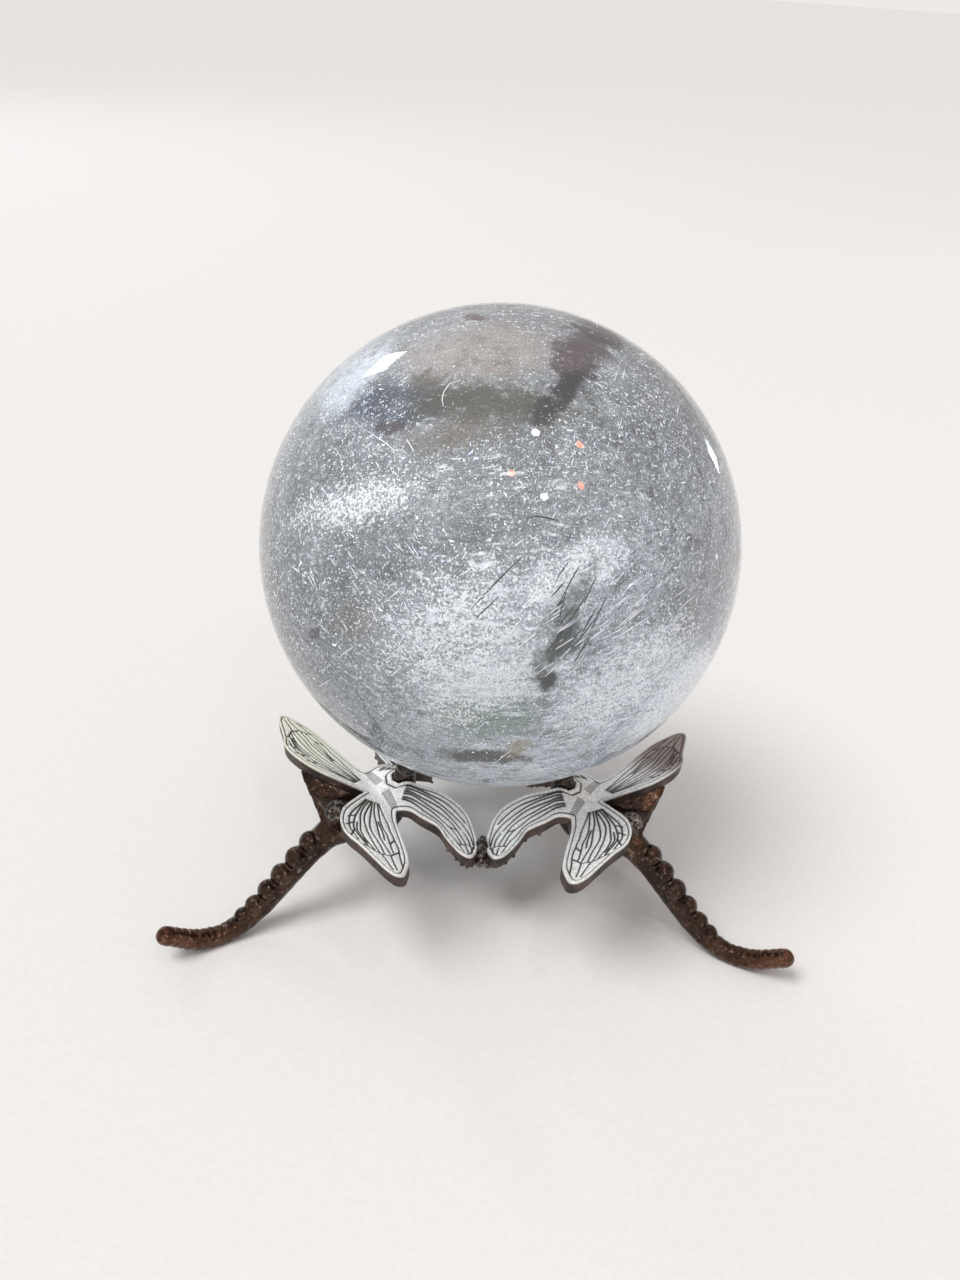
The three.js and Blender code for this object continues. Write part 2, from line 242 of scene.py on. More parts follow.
def heart_material():
    """Milky quartz: cool grey ground, white veils and specks, dark and coloured inclusions."""
    material = new_material("milky_quartz_heart")
    point = add(material, "TexCoord", {}, {}).outputs["Object"]
    inputs = {
        "Vector": point, "Location": ball_centre, "Rotation": HEART_TIP.to_euler(),
        "Scale": Vector((1, -1, 1)) * ball_radius * HEART_SHARE,
    }
    heart = add(material, "Mapping", {"vector_type": "TEXTURE"}, inputs).outputs[0]
    # Growth lines rise to one side: the pattern is drawn out along them.
    inputs = {"Vector": heart, "Rotation": (0, math.radians(-38), 0), "Scale": (0.2, 1, 1)}
    growth = add(material, "Mapping", {"vector_type": "POINT"}, inputs).outputs[0]
    # Clouds of 10 mm, wisps of 3 mm, streaks of 1 mm and healed cracks of 0.2 to 0.5 mm.
    inputs = {"Vector": heart, "Scale": 2.6, "Detail": 6.0, "Roughness": 0.62, "Distortion": 0.3}
    clouds = add(material, "TexNoise", {}, inputs).outputs["Fac"]
    inputs = {"Vector": growth, "Scale": 9.0, "Detail": 7.0, "Roughness": 0.72, "Distortion": 0.2}
    wisps = add(material, "TexNoise", {}, inputs).outputs["Fac"]
    inputs = {"Vector": growth, "Scale": 46.0, "Detail": 3.0, "Roughness": 0.6}
    streaks = add(material, "TexNoise", {}, inputs).outputs["Fac"]
    inputs = {"Vector": heart, "Scale": 11.0, "Detail": 6.0, "Roughness": 0.7}
    mottle = add(material, "TexNoise", {}, inputs).outputs["Fac"]
    inputs = {"Vector": heart, "Scale": 85.0, "Detail": 2.0, "Roughness": 0.6}
    specks = add(material, "TexNoise", {}, inputs).outputs["Fac"]
    inputs = {"Vector": heart, "Scale": 150.0, "Detail": 1.0}
    fine = add(material, "TexNoise", {}, inputs).outputs["Fac"]
    settings = {"operation": "MULTIPLY_ADD"}
    ragged = add(material, "Math", settings, {0: mottle, 1: 2.6, 2: -1.3}).outputs[0]
    drift = add(material, "Math", settings, {0: clouds, 1: 2.0, 2: -1.0}).outputs[0]
    inputs = {0: heart, 1: (0.45, 0.0, -0.85)}
    low = add(material, "VectorMath", {"operation": "DOT_PRODUCT"}, inputs).outputs["Value"]
    # The low layer is painted light: the heart is made paler towards its lower right, where the key light leaves it in
    # shade.
    colour = coated(material, linear("#7a8187"), [
        (clouds, 0.4, 0.62, 1.0, "#949aa1"), (low, -0.35, 0.9, 0.85, "#ccd5e0"),
        (wisps, 0.5, 0.72, 0.6, "#c0c6cc"), (wisps, 0.48, 0.32, 0.5, "#666b6f"),
        (mottle, 0.5, 0.3, 0.5, "#63676b"), (streaks, 0.48, 0.34, 0.5, "#5c6165"),
        (fine, 0.5, 0.36, 0.4, "#5f6468"), (fine, 0.56, 0.68, 0.3, "#e4e8ee"),
    ])
    milk = 0.0
    for patch in MILKY_PATCHES.values():
        share = patch_share(material, heart, patch, drift)
        colour = coated(material, colour, [(share, 0.0, 1.0, patch[5], patch[4])])
        milk = add(material, "Math", {"operation": "MAXIMUM"}, {0: milk, 1: share}).outputs[0]
    sparkle = add(material, "Math", settings, {0: milk, 1: 0.12, 2: specks}).outputs[0]
    strands = add(material, "Math", settings, {0: milk, 1: 0.1, 2: streaks}).outputs[0]
    for patch in SMOOTH_PATCHES.values():
        share = patch_share(material, heart, patch, drift)
        colour = coated(material, colour, [(share, 0.0, 1.0, patch[5], patch[4])])
    colour = coated(material, colour, [
        (streaks, 0.47, 0.33, 0.4, "#7f868e"), (specks, 0.46, 0.34, 0.2, "#7a8189"),
        (sparkle, 0.6, 0.67, 1.0, "#fbfdff"), (strands, 0.59, 0.7, 0.85, "#f4f8ff"),
    ])
    for patch in INCLUSIONS.values():
        share = patch_share(material, heart, patch, ragged)
        colour = coated(material, colour, [(share, 0.0, 1.0, patch[5], patch[4])])
    colour = coated(material, colour, [
        (mottle, 0.49, 0.32, 0.4, "#4c4a49"), (mottle, 0.55, 0.7, 0.35, "#c3c1c0"),
        (fine, 0.52, 0.36, 0.35, "#3c3d40"), (specks, 0.66, 0.74, 0.7, "#e6eaf0"),
    ])
    # Painted glow: emission brightens the heart's lower side a little, standing in for light gathered by the ball.
    painted_glow = add(material, "MapRange", {}, {
        "Value": low, "From Min": -0.1, "From Max": 0.9, "To Max": 0.3,
    }).outputs["Result"]
    bump = add(material, "Bump", {}, {"Height": specks, "Strength": 0.4, "Distance": 0.4 * MM})
    shader = add(material, "BsdfPrincipled", {}, {
        "Base Color": colour, "Roughness": mottle, "IOR": 1.54, "Normal": bump.outputs[0],
        "Emission Color": colour, "Emission Strength": painted_glow,
    })
    return finish_surface(material, shader.outputs[0])


def shell_material():
    """Polished rock crystal: clear, wet-looking, with a faint haze of handling in its polish."""
    material = new_material("polished_rock_crystal")
    point = add(material, "TexCoord", {}, {}).outputs["Object"]
    inputs = {"Vector": point, "Scale": 1 / (9 * MM), "Detail": 4.0, "Roughness": 0.6}
    haze = add(material, "TexNoise", {}, inputs).outputs["Fac"]
    polish = add(material, "MapRange", {}, {
        "Value": haze, "From Min": 0.3, "From Max": 0.8, "To Min": 0.0, "To Max": 0.03,
    }).outputs["Result"]
    shader = add(material, "BsdfPrincipled", {}, {
        "Base Color": linear("#f6f8fa"), "Roughness": polish, "IOR": 1.544, "Transmission Weight": 1.0,
    })
    clear = add(material, "BsdfTransparent", {}, {"Color": linear("#eef1f3")})
    path = add(material, "LightPath", {}, {})
    mixed = add(material, "MixShader", {}, {
        0: path.outputs["Is Shadow Ray"], 1: shader.outputs[0], 2: clear.outputs[0],
    })
    return finish_surface(material, mixed.outputs[0])


def veil_material():
    """Healed cracks: tiny air-filled discs that flash white like mirrors; their faint emission is a painted glow."""
    material = new_material("healed_crack_flakes")
    point = add(material, "TexCoord", {}, {}).outputs["Object"]
    inputs = {"Vector": point, "Scale": 1 / (5 * MM), "Detail": 3.0, "Roughness": 0.6}
    tone = add(material, "TexNoise", {}, inputs).outputs["Fac"]
    colour = coated(material, linear("#d5dcf2"), [(tone, 0.35, 0.65, 1.0, "#ffffff")])
    gloss = add(material, "MapRange", {}, {"Value": tone, "To Min": 0.1, "To Max": 0.5}).outputs["Result"]
    shader = add(material, "BsdfPrincipled", {}, {
        "Base Color": colour, "Roughness": gloss, "Metallic": 0.1,
        "Emission Color": colour, "Emission Strength": 0.12,
    })
    return finish_surface(material, shader.outputs[0])


def dark_inclusion_material():
    """Dark mineral threads: matt, nearly black, a little green."""
    material = new_material("dark_mineral_threads")
    point = add(material, "TexCoord", {}, {}).outputs["Object"]
    inputs = {"Vector": point, "Scale": 1 / (1.5 * MM), "Detail": 3.0, "Roughness": 0.6}
    tone = add(material, "TexNoise", {}, inputs).outputs["Fac"]
    colour = coated(material, linear("#26292b"), [(tone, 0.3, 0.7, 1.0, "#565a5c")])
    shader = add(material, "BsdfPrincipled", {}, {"Base Color": colour, "Roughness": 0.6})
    return finish_surface(material, shader.outputs[0])


# ---------------------------------------------------------------- metal finishes


# Tints of the wings' painted sheen: place and half sizes from the ball's centre in ball radii, colour, strength.
# The brown on the far right wing is the plate's own colour where its face mirrors no sky.
WING_TINTS = {
    "far_left": ((-0.86, -0.06, -1.0), (0.34, 0.34, 0.3), "#e3e8c2", 0.35),
    "far_right": ((0.95, 0.04, -0.98), (0.32, 0.32, 0.3), "#7a655c", 0.85),
}


def wing_material():
    """Bronze-plated zinc casting: tops painted silver-white as a painted reflection of the bright sky, black patina in
    the grooves, dark bronze walls with painted highlights.
    """
    material = new_material("bronze_casting_with_painted_sheen")
    point = add(material, "TexCoord", {}, {}).outputs["Object"]
    top = add(material, "Attribute", {"attribute_name": "top"}, {}).outputs["Fac"]
    groove = add(material, "Attribute", {"attribute_name": "groove"}, {}).outputs["Fac"]
    # Casting skin with pits of about 0.3 mm, and handling wear over some millimetres; they also place the painted
    # white flecks on the tops and painted highlights on the walls.
    inputs = {"Vector": point, "Scale": 1 / (0.35 * MM), "Detail": 3.0, "Roughness": 0.7}
    skin = add(material, "TexNoise", {}, inputs).outputs["Fac"]
    inputs = {"Vector": point, "Scale": 1 / (3.0 * MM), "Detail": 4.0, "Roughness": 0.6}
    wear = add(material, "TexNoise", {}, inputs).outputs["Fac"]
    # Painted reflection: the tops get a bright silver ground and white flecks where the bronze plate mirrors the
    # bright sky.
    painted_sheen_and_wear = coated(material, linear("#dddedb"), [
        (skin, 0.38, 0.6, 1.0, "#ffffff"), (wear, 0.46, 0.34, 0.3, "#b9b8b2"),
    ])
    for place, half_sizes, tint, strength in WING_TINTS.values():
        inputs = {
            "Vector": point, "Location": ball_centre + Vector(place) * ball_radius,
            "Scale": tuple(ball_radius * half for half in half_sizes),
        }
        local = add(material, "Mapping", {"vector_type": "TEXTURE"}, inputs).outputs[0]
        far = add(material, "VectorMath", {"operation": "LENGTH"}, {0: local}).outputs["Value"]
        painted_sheen_and_wear = coated(material, painted_sheen_and_wear, [(far, 1.1, 0.5, strength, tint)])
    # The walls are the plate's own dark bronze; their pale #8f7465 patches are painted highlights.
    wall = coated(material, linear("#332c2a"), [
        (wear, 0.35, 0.65, 1.0, "#584a44"), (wear, 0.62, 0.72, 0.9, "#8f7465"),
    ])
    colour = add(material, "Mix", {"data_type": "RGBA"}, {0: top, 6: wall, 7: painted_sheen_and_wear}).outputs[2]
    colour = coated(material, colour, [(groove, 0.2, 0.9, 1.0, "#3b3936")])
    rough = add(material, "MapRange", {}, {
        "Value": skin, "From Min": 0.3, "From Max": 0.7, "To Min": 0.6, "To Max": 0.35,
    }).outputs["Result"]
    bump = add(material, "Bump", {}, {"Height": skin, "Strength": 0.35, "Distance": 0.12 * MM})
    shader = add(material, "BsdfPrincipled", {}, {
        "Base Color": colour, "Metallic": 0.4, "Roughness": rough, "Normal": bump.outputs[0],
    })
    return finish_surface(material, shader.outputs[0])


def body_material():
    """Antique bronze plate on cast zinc: dark brown, with painted highlights on its raised spots and in pale flecks,
    redder at the feet.
    """
    material = new_material("antique_bronze_plate")
    point = add(material, "TexCoord", {}, {}).outputs["Object"]
    inputs = {"Vector": point, "Scale": 1 / (0.7 * MM), "Detail": 3.0, "Roughness": 0.6}
    skin = add(material, "TexNoise", {}, inputs).outputs["Fac"]
    inputs = {"Vector": point, "Scale": 1 / (4.0 * MM), "Detail": 4.0, "Roughness": 0.6}
    wear = add(material, "TexNoise", {}, inputs).outputs["Fac"]
    inputs = {"Vector": point, "Location": ball_centre, "Scale": (ball_radius, ball_radius, 1e6)}
    out = add(material, "Mapping", {"vector_type": "TEXTURE"}, inputs).outputs[0]
    reach = add(material, "VectorMath", {"operation": "LENGTH"}, {0: out}).outputs["Value"]
    raised = add(material, "Attribute", {"attribute_name": "raised"}, {}).outputs["Fac"]
    colour = coated(material, linear("#332824"), [
        (wear, 0.35, 0.7, 1.0, "#574538"), (reach, 1.15, 1.6, 0.45, "#80543f"),
        (skin, 0.46, 0.3, 0.9, "#241b17"), (reach, 0.54, 0.48, 0.8, "#4a4643"),
        # Painted highlights: glints on the raised tops of the bumps and pale flecks in the skin.
        (raised, 0.6, 1.0, 0.55, "#a8917f"), (skin, 0.58, 0.68, 0.3, "#c9bcae"),
    ])
    rough = add(material, "MapRange", {}, {
        "Value": wear, "From Min": 0.3, "From Max": 0.7, "To Min": 0.24, "To Max": 0.1,
    }).outputs["Result"]
    bump = add(material, "Bump", {}, {"Height": skin, "Strength": 0.6, "Distance": 0.15 * MM})
    shader = add(material, "BsdfPrincipled", {}, {
        "Base Color": colour, "Metallic": 0.9, "Roughness": rough, "Normal": bump.outputs[0],
    })
    return finish_surface(material, shader.outputs[0])


def solder_material():
    """Lead-free solder that set in lumps: dark oxide with bright crystalline grains."""
    material = new_material("lumpy_dark_solder")
    point = add(material, "TexCoord", {}, {}).outputs["Object"]
    inputs = {"Vector": point, "Scale": 1 / (0.8 * MM), "Detail": 3.0, "Roughness": 0.7}
    lumps = add(material, "TexNoise", {}, inputs).outputs["Fac"]
    inputs = {"Vector": point, "Scale": 1 / (0.3 * MM), "Detail": 3.0, "Roughness": 0.7}
    grains = add(material, "TexNoise", {}, inputs).outputs["Fac"]
    colour = coated(material, linear("#3d3734"), [(lumps, 0.42, 0.66, 1.0, "#a79f97")])
    bump = add(material, "Bump", {}, {"Height": grains, "Strength": 0.7, "Distance": 0.25 * MM})
    rough = add(material, "MapRange", {}, {"Value": lumps, "To Min": 0.45, "To Max": 0.15})
    shader = add(material, "BsdfPrincipled", {}, {
        "Base Color": colour, "Metallic": 1.0, "Roughness": rough.outputs["Result"],
        "Normal": bump.outputs[0],
    })
    return finish_surface(material, shader.outputs[0])


# ---------------------------------------------------------------- shapes


def finished(name, mesh, material, smooth=True):
    """Scene object of a mesh, with its finish."""
    mesh.materials.clear()
    mesh.materials.append(material)
    mesh.shade_smooth() if smooth else mesh.shade_flat()
    piece = bpy.data.objects.new(name, mesh)
    bpy.context.scene.collection.objects.link(piece)
    return piece


def fused(bm, cell, smoothing):
    """The overlapping shapes of a bmesh as one skin, like a single casting."""
    bmesh.ops.recalc_face_normals(bm, faces=bm.faces)
    rough_mesh = bpy.data.meshes.new("rough")
    bm.to_mesh(rough_mesh)
    bm.free()
    worker = bpy.data.objects.new("worker", rough_mesh)
    bpy.context.scene.collection.objects.link(worker)
    remesh = worker.modifiers.new("skin", "REMESH")
    remesh.mode = "VOXEL"
    remesh.voxel_size = cell
    if smoothing:
        smooth = worker.modifiers.new("soften", "SMOOTH")
        smooth.factor = 0.5
        smooth.iterations = smoothing
    settled = worker.evaluated_get(bpy.context.evaluated_depsgraph_get())
    mesh = bpy.data.meshes.new_from_object(settled)
    bpy.data.objects.remove(worker)
    bpy.data.meshes.remove(rough_mesh)
    return mesh


def points_of(mesh):
    flat = np.zeros(len(mesh.vertices) * 3)
    mesh.vertices.foreach_get("co", flat)
    return flat.reshape(-1, 3)


def put_points(mesh, points):
    mesh.vertices.foreach_set("co", points.astype(np.float32).ravel())
    mesh.update()


def around(points, azimuth):
    """Points given as (reach, side, height above the floor), turned to an azimuth about the ball's axis."""
    turn = math.radians(azimuth)
    reach, side, height = points[:, 0], points[:, 1], points[:, 2]
    x = ball_centre.x + reach * math.cos(turn) - side * math.sin(turn)
    y = ball_centre.y + reach * math.sin(turn) + side * math.cos(turn)
    return np.stack([x, y, height], axis=1)


def smooth_line(corners, count):
    """Uniform Catmull-Rom line through the corners, as count + 1 points."""
    corners = np.array(corners, float)
    last = len(corners) - 1
    line = []
    for place in np.linspace(0, last, count + 1):
        at = min(int(place), last - 1)
        t = place - at
        p0, p1, p2, p3 = (corners[min(max(i, 0), last)] for i in (at - 1, at, at + 1, at + 2))
        line.append(
            0.5 * (2 * p1 + (p2 - p0) * t + (2 * p0 - 5 * p1 + 4 * p2 - p3) * t ** 2
                   + (3 * p1 - p0 - 3 * p2 + p3) * t ** 3)
        )
    return np.array(line)


def lump(bm, reach, side, depth, half_reach, half_side, half_depth):
    """An ellipsoid in the insect's own place, given in ball radii."""
    place = Vector((reach * ball_radius, side * ball_radius, ball_centre.z - depth * ball_radius))
    size = Matrix.Diagonal((half_reach, half_side, half_depth, 1)) @ Matrix.Scale(ball_radius, 4)
    bmesh.ops.create_icosphere(bm, subdivisions=3, radius=1, matrix=Matrix.Translation(place) @ size)


def as_plate(line):
    """(reach, side) in ball radii to the plate's own plane, in metres."""
    line = np.array(line, float)
    along = (line[:, 0] - THORAX_REACH) * ball_radius / math.cos(WING_TILT)
    return np.stack([along, line[:, 1] * ball_radius], axis=1)


def wing_loop():
    half = np.vstack([smooth_line(HIND_WING_OUTLINE, 60), smooth_line(FORE_WING_OUTLINE, 70)[1:]])
    half = np.vstack([half, [HEAD_GAP]])
    mirrored = half[1:-1][::-1] * (1, -1)
    return as_plate(np.vstack([half, mirrored]))


def vein_lines():
    """Every groove line of the four wings, in the plate's own plane."""
    wings = [
        (HIND_WING_MIDDLE, HIND_WING_HALF_WIDTH, HIND_WING_VEINS, HIND_WING_CROSSINGS, 1),
        (FORE_WING_MIDDLE, FORE_WING_HALF_WIDTH, FORE_WING_VEINS, FORE_WING_CROSSINGS, -1),
    ]
    lines = []
    for middle, half_width, veins, crossings, outward in wings:
        steps = 40
        spine = smooth_line(middle, steps)
        widths = np.interp(np.linspace(0, 1, steps + 1), np.linspace(0, 1, len(half_width)), half_width)
        heading = np.gradient(spine, axis=0)
        heading /= np.linalg.norm(heading, axis=1)[:, None]
        across = np.stack([heading[:, 1], -heading[:, 0]], axis=1) * outward

        def at(share_across, share_along):
            place = share_along * steps
            rows = np.arange(steps + 1)
            base = [np.interp(place, rows, spine[:, k]) for k in (0, 1)]
            side = [np.interp(place, rows, across[:, k]) for k in (0, 1)]
            width = np.interp(place, rows, widths)
            return [base[k] + side[k] * width * share_across for k in (0, 1)]

        for share_across, start, end in veins:
            stations = np.linspace(max(start, 0.1), end, 24)
            wobble = 0.03 * np.sin(stations * 17 + share_across * 9)
            lines.append(np.array([at(share_across + w, s) for s, w in zip(stations, wobble)]))
        for crossing in crossings:
            lines.append(np.array([at(a, s) for a, s in crossing]))
    return [as_plate(line) for line in lines]


def nearest(points, line):
    """Distance from each point to a broken line."""
    best = np.full(len(points), np.inf)
    for a, b in zip(line[:-1], line[1:]):
        span = b - a
        share = np.clip(((points - a) @ span) / max(span @ span, 1e-18), 0, 1)
        best = np.minimum(best, np.linalg.norm(points - a - share[:, None] * span, axis=1))
    return best


def wing_casting():
    """Plate of four wings in its own plane, with its grooves; returns the mesh, in insect places."""
    loop = wing_loop()
    bm = bmesh.new()
    corners = [bm.verts.new((x, y, 0)) for x, y in loop]
    top_face = bm.faces.new(corners)
    lower = bmesh.ops.extrude_face_region(bm, geom=[top_face])["geom"]
    lowered = [part for part in lower if isinstance(part, bmesh.types.BMVert)]
    drop = (-WALL_LEAN * ball_radius, 0, -WING_THICKNESS * ball_radius)
    bmesh.ops.translate(bm, verts=lowered, vec=drop)
    # Casting flash along the lower edge of the fore wings.
    for x, y in loop[::3]:
        spot = Vector((x, y, 0)) * 40 / ball_radius
        if x < -0.12 * ball_radius and noise.noise(spot * 0.6) > -0.05:
            size = (0.3 + 0.25 * noise.noise(spot)) * MM
            place = Vector((x - WALL_LEAN * ball_radius, y, -WING_THICKNESS * ball_radius))
            bmesh.ops.create_icosphere(bm, subdivisions=2, radius=size, matrix=Matrix.Translation(place))
    mesh = fused(bm, 0.16 * MM, 1)
    points = points_of(mesh)
    flat = points[:, :2] * (1, 1)
    mirrored = np.stack([flat[:, 0], np.abs(flat[:, 1])], axis=1)
    on_top = points[:, 2] > -0.3 * MM
    groove = np.zeros(len(points))
    chosen = mirrored[on_top]
    cut = np.zeros(len(chosen))
    for line in vein_lines():
        cut = np.maximum(cut, np.clip(1.4 - nearest(chosen, line) / (0.19 * MM), 0, 1))
    edge = nearest(chosen, np.vstack([loop, loop[:1]]))
    rim = np.clip(1.3 - np.abs(edge - 0.6 * MM) / (0.15 * MM), 0, 1)
    cut = np.where(edge > 0.32 * MM, np.maximum(cut, rim), 0)
    reach = THORAX_REACH * ball_radius + chosen[:, 0] * math.cos(WING_TILT)
    bar = (np.abs(reach - 0.545 * ball_radius) < 0.014 * ball_radius)
    bar &= (chosen[:, 1] > 0.03 * ball_radius) & (chosen[:, 1] < 0.145 * ball_radius)
    groove[on_top] = np.maximum(cut, 0.55 * bar)
    points[:, 2] -= groove * 0.24 * MM
    top = np.clip((points[:, 2] + 0.55 * MM) / (0.25 * MM), 0, 1)
    # Tilted up and out, with the fore wings' roots raised beside the head.
    reach = THORAX_REACH * ball_radius + points[:, 0] * math.cos(WING_TILT)
    inward = np.clip((0.59 * ball_radius - reach) / (0.13 * ball_radius), 0, 1)
    inward = inward ** 2 * (3 - 2 * inward)
    spread = np.exp(-((points[:, 1] / (FORE_WING_LIFT_WIDTH * ball_radius)) ** 2))
    height = points[:, 2] + FORE_WING_LIFT * ball_radius * inward * spread
    placed = np.stack([
        THORAX_REACH * ball_radius + points[:, 0] * math.cos(WING_TILT) - height * math.sin(WING_TILT),
        points[:, 1],
        ball_centre.z - THORAX_DEPTH * ball_radius + points[:, 0] * math.sin(WING_TILT)
        + height * math.cos(WING_TILT),
    ], axis=1)
    put_points(mesh, placed)
    for name, values in (("groove", groove), ("top", top)):
        mesh.attributes.new(name, "FLOAT", "POINT").data.foreach_set("value", values.astype(np.float32))
    return mesh


def raised_share(mesh, rounds, full):
    """How far each point stands out of its softened surroundings: 1 at this height and above."""
    points = points_of(mesh)
    ends = np.zeros(len(mesh.edges) * 2, dtype=np.int32)
    mesh.edges.foreach_get("vertices", ends)
    first, second = ends.reshape(-1, 2).T
    count = np.bincount(ends, minlength=len(points))
    soft = points.copy()
    for _ in range(rounds):
        for axis in range(3):
            total = np.bincount(first, soft[second, axis], len(points))
            total += np.bincount(second, soft[first, axis], len(points))
            soft[:, axis] = total / count
    normals = np.array([v.normal[:] for v in mesh.vertices])
    return np.clip(((points - soft) * normals).sum(axis=1) / full, 0, 1)


def body_casting():
    """Thorax, head, web and ringed tail of one insect, in insect places."""
    bm = bmesh.new()
    for sizes in BODY_LUMPS:
        lump(bm, *sizes)
    line = smooth_line(LEG_LINE, 220)
    shares = np.linspace(0, 1, len(line))
    half = np.interp(shares, np.linspace(0, 1, len(LEG_HALF_THICKNESS)), LEG_HALF_THICKNESS)
    lengths = np.concatenate([[0], np.cumsum(np.linalg.norm(np.diff(line, axis=0), axis=1))])
    # Rings 1.3 mm apart round the last part of the tail.
    beads = 0.0045 * np.abs(np.sin(math.pi * lengths / 0.035)) - 0.002
    half = half + np.where(shares > 0.62, beads, 0)
    rod = bpy.data.curves.new("tail", "CURVE")
    rod.dimensions = "3D"
    rod.bevel_depth = 1.0
    rod.bevel_resolution = 5
    rod.use_fill_caps = True
    spline = rod.splines.new("POLY")
    spline.points.add(len(line) - 1)
    for point, (reach, depth), size in zip(spline.points, line, half):
        point.co = (reach * ball_radius, 0, ball_centre.z - depth * ball_radius, 1)
        point.radius = size * ball_radius
    holder = bpy.data.objects.new("tail", rod)
    bpy.context.scene.collection.objects.link(holder)
    tail = bpy.data.meshes.new_from_object(holder.evaluated_get(bpy.context.evaluated_depsgraph_get()))
    bm.from_mesh(tail)
    bpy.data.objects.remove(holder)
    bpy.data.meshes.remove(tail)
    end = LEG_LINE[-1]
    lump(bm, end[0], 0, end[1], 0.043, 0.043, 0.043)
    # Segments stand out on the upper side only.
    for share, size in ((0.25, 0.05), (0.33, 0.05), (0.41, 0.048), (0.49, 0.045), (0.565, 0.041), (0.63, 0.036)):
        at = int(share * (len(line) - 1))
        ahead = line[at + 2] - line[at - 2]
        ahead /= np.linalg.norm(ahead)
        upward = np.array([ahead[1], -ahead[0]])
        reach, depth = line[at] + upward * 0.034
        lump(bm, reach, 0, depth, size * 1.12, size * 1.1, size * 1.12)
    outline = [bm.verts.new((
        reach * ball_radius, -WEB_THICKNESS / 2 * ball_radius, ball_centre.z - depth * ball_radius,
    )) for reach, depth in WEB_OUTLINE]
    side = bm.faces.new(outline)
    grown = bmesh.ops.extrude_face_region(bm, geom=[side])["geom"]
    moved = [part for part in grown if isinstance(part, bmesh.types.BMVert)]
    bmesh.ops.translate(bm, verts=moved, vec=(0, WEB_THICKNESS * ball_radius, 0))
    corners = [bm.verts.new((
        reach * ball_radius, across * ball_radius, ball_centre.z - depth * ball_radius,
    )) for reach, across, depth in GUSSET_CORNERS]
    bmesh.ops.convex_hull(bm, input=corners)
    mesh = fused(bm, 0.2 * MM, 4)
    points = points_of(mesh)
    # Hand-worked surface: low swells of a tenth of a millimetre.
    swell = np.array([noise.noise(Vector(p) / (1.6 * MM)) for p in points]) * 0.1 * MM
    normals = np.array([v.normal[:] for v in mesh.vertices])
    points += normals * swell[:, None]
    points[:, 2] = np.maximum(points[:, 2], 0)
    # The head stops under the ball; the thorax already sits under the wings' tops.
    away = points - np.array([0, 0, ball_centre.z])
    far = np.linalg.norm(away, axis=1)
    inside = far < ball_radius + 0.2 * MM
    points[inside] = np.array([0, 0, ball_centre.z]) + away[inside] * ((ball_radius + 0.2 * MM) / far[inside])[:, None]
    put_points(mesh, points)
    raised = raised_share(mesh, 14, 0.3 * MM).astype(np.float32)
    mesh.attributes.new("raised", "FLOAT", "POINT").data.foreach_set("value", raised)
    return mesh


def solder_casting(lumps, seed):
    """Solder that set in place, with a lumpy skin."""
    bm = bmesh.new()
    for sizes in lumps:
        lump(bm, *sizes)
    mesh = fused(bm, 0.15 * MM, 1)
    points = points_of(mesh)
    normals = np.array([v.normal[:] for v in mesh.vertices])
    shift = Vector((seed, 0, 0))
    swell = [
        noise.noise(Vector(p) / (0.9 * MM) + shift) + 0.5 * noise.noise(Vector(p) / (0.4 * MM) + shift)
        for p in points
    ]
    put_points(mesh, points + normals * (np.array(swell) * 0.22 * MM)[:, None])
    return mesh


def turned_copy(mesh, azimuth, flipped=False):
    copy = mesh.copy()
    points = points_of(copy)
    if flipped:
        points[:, 1] *= -1
    put_points(copy, around(points, azimuth))
    if flipped:
        copy.flip_normals()
    return copy


# ---------------------------------------------------------------- the stand

plate_with_painted_sheen = wing_material()
bronze = body_material()
solder = solder_material()

wings_mesh = wing_casting()
body_mesh = body_casting()
weld_mesh = solder_casting(WELD_LUMPS, 3)
for side, azimuth in INSECTS.items():
    wings = finished(f"cast_wings_{side}", turned_copy(wings_mesh, azimuth), plate_with_painted_sheen)
    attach(wings, "stand")
    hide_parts(f"wings_{side}")
    body = finished(f"cast_body_and_tail_{side}", turned_copy(body_mesh, azimuth, side == "right"), bronze)
    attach(body, "stand")
    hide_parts(f"body_leg_{side}")
    weld = finished(f"weld_{side}", turned_copy(weld_mesh, azimuth, side == "right"), solder)
    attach(weld, "stand")
    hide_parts(f"body_solder_{side}")
for seed, (side, azimuth) in enumerate(BRIDGES.items()):
    bridge = finished(f"solder_bridge_{side}", turned_copy(solder_casting(BRIDGE_LUMPS, seed), azimuth), solder)
    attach(bridge, "stand")
    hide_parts(f"tip_solder_{side}")

# ---------------------------------------------------------------- the ball


def sphere(name, radius, subdivisions, material):
    bm = bmesh.new()
    place = Matrix.Translation(ball_centre)
    bmesh.ops.create_icosphere(bm, subdivisions=subdivisions, radius=radius, matrix=place)
    mesh = bpy.data.meshes.new(name)
    bm.to_mesh(mesh)
    bm.free()
    return finished(name, mesh, material)


def in_ball(point):
    """A point of the heart's frame, in ball radii, to its place."""
    return ball_centre + HEART_TIP @ Vector((point[0], -point[1], point[2])) * ball_radius


